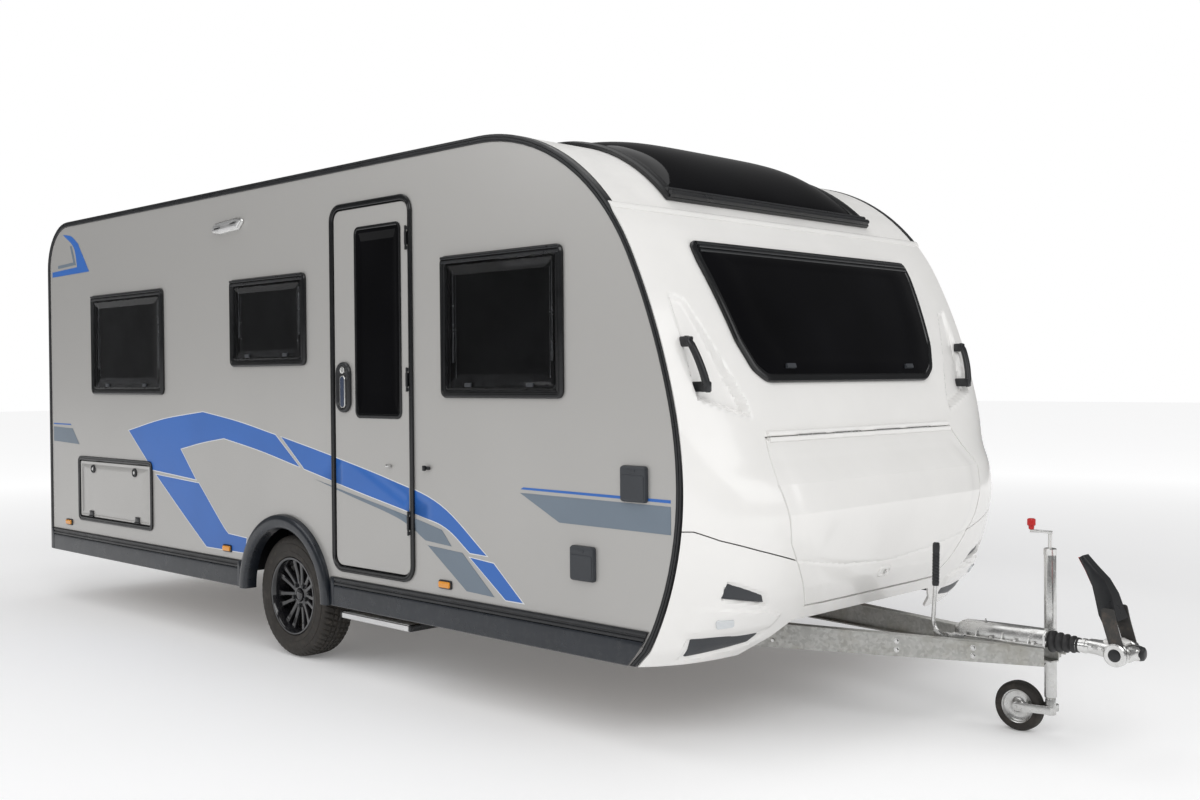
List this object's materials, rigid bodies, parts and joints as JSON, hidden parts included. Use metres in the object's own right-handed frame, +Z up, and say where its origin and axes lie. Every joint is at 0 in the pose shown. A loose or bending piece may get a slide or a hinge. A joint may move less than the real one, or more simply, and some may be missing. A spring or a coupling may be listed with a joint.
{
  "type": "travel caravan",
  "caption": "Single-axle travel caravan on its wheels and jockey wheel, silver-grey side walls with black edge trims, white front with roof window, gas locker lid, V-shaped galvanised drawbar and ball coupling.",
  "frame": {"origin": "on the ground, under the middle of the overall length and width", "axes": "+X forward to the coupling, +Y to the left side, +Z up"},
  "size_m": [6.85, 2.368, 2.544],
  "materials": {
    "wall_silver": "satin",
    "roof_white": "satin",
    "abs_white": "gloss",
    "floor_ply": "satin",
    "locker_grey": "satin",
    "trim_black": "satin",
    "skirt_dark": "satin",
    "acrylic_dark": "gloss",
    "lamp_red": "gloss",
    "handle_black": "satin",
    "zinc_steel": "satin",
    "step_alu": "satin",
    "hub_iron": "matte",
    "rim_black": "gloss",
    "tyre_rubber": "matte"
  },
  "bodies": {
    "caravan_body": {"side_wall_right": "wall_silver", "side_wall_left": "wall_silver", "roof_panel": "roof_white", "rear_wall": "roof_white", "floor_panel": "floor_ply", "front_panel": "abs_white", "front_bumper": "abs_white", "locker_box": "locker_grey", "edge_trim_right": "trim_black", "edge_trim_left": "trim_black", "panorama_window": "acrylic_dark", "front_window": "acrylic_dark", "window_right_front": "acrylic_dark", "window_right_middle": "acrylic_dark", "window_right_rear": "acrylic_dark", "windows_left": "acrylic_dark", "rear_window": "acrylic_dark", "rooflights": "abs_white", "door_frame": "trim_black", "hatch_frame": "trim_black", "service_frame": "roof_white", "skirt_right": "skirt_dark", "skirt_left": "skirt_dark", "wheel_arch_right": "skirt_dark", "wheel_arch_left": "skirt_dark", "wheel_boxes": "trim_black", "wall_fittings": "trim_black", "grab_handles": "trim_black", "rear_bumper": "abs_white", "tail_lights": "lamp_red", "chassis_rails": "zinc_steel", "cross_members": "zinc_steel", "drawbar_right": "zinc_steel", "drawbar_left": "zinc_steel", "axle": "zinc_steel", "coupling_housing": "zinc_steel", "coupling_head": "zinc_steel", "jockey_clamp": "zinc_steel"},
    "entrance_door": {"entrance_door": "wall_silver", "door_handle": "handle_black"},
    "cargo_hatch": {"cargo_hatch": "wall_silver"},
    "service_hatch": {"service_hatch": "roof_white"},
    "locker_lid": {"locker_lid": "abs_white"},
    "wheel_right": {"hub_right": "hub_iron", "rim_right": "rim_black", "tyre_right": "tyre_rubber"},
    "wheel_left": {"hub_left": "hub_iron", "rim_left": "rim_black", "tyre_left": "tyre_rubber"},
    "entrance_step": {"entrance_step": "step_alu"},
    "steady_rear_right": {"corner_steadies_rear_right": "zinc_steel"},
    "steady_rear_left": {"corner_steadies_rear_left": "zinc_steel"},
    "steady_front_right": {"corner_steadies_front_right": "zinc_steel"},
    "steady_front_left": {"corner_steadies_front_left": "zinc_steel"},
    "stabiliser_lever": {"stabiliser_lever": "handle_black"},
    "handbrake_lever": {"handbrake_lever": "zinc_steel"},
    "jockey_tube": {"jockey_tube": "zinc_steel"},
    "jockey_leg": {"jockey_leg": "zinc_steel"},
    "jockey_fork": {"jockey_fork": "zinc_steel"},
    "jockey_wheel": {"jockey_wheel": "tyre_rubber"}
  },
  "joints": [
    {"name": "wheel_right_spin", "type": "hinge", "parent": "caravan_body", "child": "wheel_right", "pos_m": [-0.52, -1.0245, 0.317], "axis": [0, 1, 0], "continuous": true},
    {"name": "wheel_left_spin", "type": "hinge", "parent": "caravan_body", "child": "wheel_left", "pos_m": [-0.52, 1.0245, 0.317], "axis": [0, 1, 0], "continuous": true},
    {"name": "entrance_door_hinge", "type": "hinge", "parent": "caravan_body", "child": "entrance_door", "pos_m": [0.541, -1.168, 1.2], "axis": [0, 0, 1], "range_deg": [0, 165]},
    {"name": "cargo_hatch_hinge", "type": "hinge", "parent": "caravan_body", "child": "cargo_hatch", "pos_m": [-2.456, -1.159, 0.5825], "axis": [1, 0, 0], "range_deg": [0, 140]},
    {"name": "service_hatch_hinge", "type": "hinge", "parent": "caravan_body", "child": "service_hatch", "pos_m": [-2.7935, 1.159, 0.7], "axis": [0, 0, 1], "range_deg": [0, 160]},
    {"name": "locker_lid_hinge", "type": "hinge", "parent": "caravan_body", "child": "locker_lid", "pos_m": [2.25206, 0, 1.199], "axis": [0, -1, 0], "range_deg": [0, 28]},
    {"name": "entrance_step_slide", "type": "slide", "parent": "caravan_body", "child": "entrance_step", "axis": [0, -1, 0], "range_m": [0, 0.24]},
    {"name": "steady_rear_right_hinge", "type": "hinge", "parent": "caravan_body", "child": "steady_rear_right", "pos_m": [-2.67, -0.85, 0.35], "axis": [0, -1, 0], "range_deg": [0, 60]},
    {"name": "steady_rear_left_hinge", "type": "hinge", "parent": "caravan_body", "child": "steady_rear_left", "pos_m": [-2.67, 0.85, 0.35], "axis": [0, -1, 0], "range_deg": [0, 60]},
    {"name": "steady_front_right_hinge", "type": "hinge", "parent": "caravan_body", "child": "steady_front_right", "pos_m": [1.2, -0.85, 0.35], "axis": [0, 1, 0], "range_deg": [0, 60]},
    {"name": "steady_front_left_hinge", "type": "hinge", "parent": "caravan_body", "child": "steady_front_left", "pos_m": [1.2, 0.85, 0.35], "axis": [0, 1, 0], "range_deg": [0, 60]},
    {"name": "stabiliser_lever_hinge", "type": "hinge", "parent": "caravan_body", "child": "stabiliser_lever", "pos_m": [3.339, 0, 0.397], "axis": [0, -1, 0], "range_deg": [0, 40]},
    {"name": "handbrake_lever_hinge", "type": "hinge", "parent": "caravan_body", "child": "handbrake_lever", "pos_m": [2.657, -0.09, 0.36], "axis": [0, 1, 0], "range_deg": [0, 60]},
    {"name": "jockey_clamp_slide", "type": "slide", "parent": "caravan_body", "child": "jockey_tube", "axis": [0, 0, 1], "range_m": [0, 0.09]},
    {"name": "jockey_leg_slide", "type": "slide", "parent": "jockey_tube", "child": "jockey_leg", "axis": [0, 0, -1], "range_m": [0, 0.15]},
    {"name": "jockey_swivel", "type": "hinge", "parent": "jockey_leg", "child": "jockey_fork", "pos_m": [3.007, 0.11666, 0.14], "axis": [0, 0, 1], "continuous": true},
    {"name": "jockey_wheel_spin", "type": "hinge", "parent": "jockey_fork", "child": "jockey_wheel", "pos_m": [2.877, 0.11666, 0.1], "axis": [0, 1, 0], "continuous": true}
  ]
}
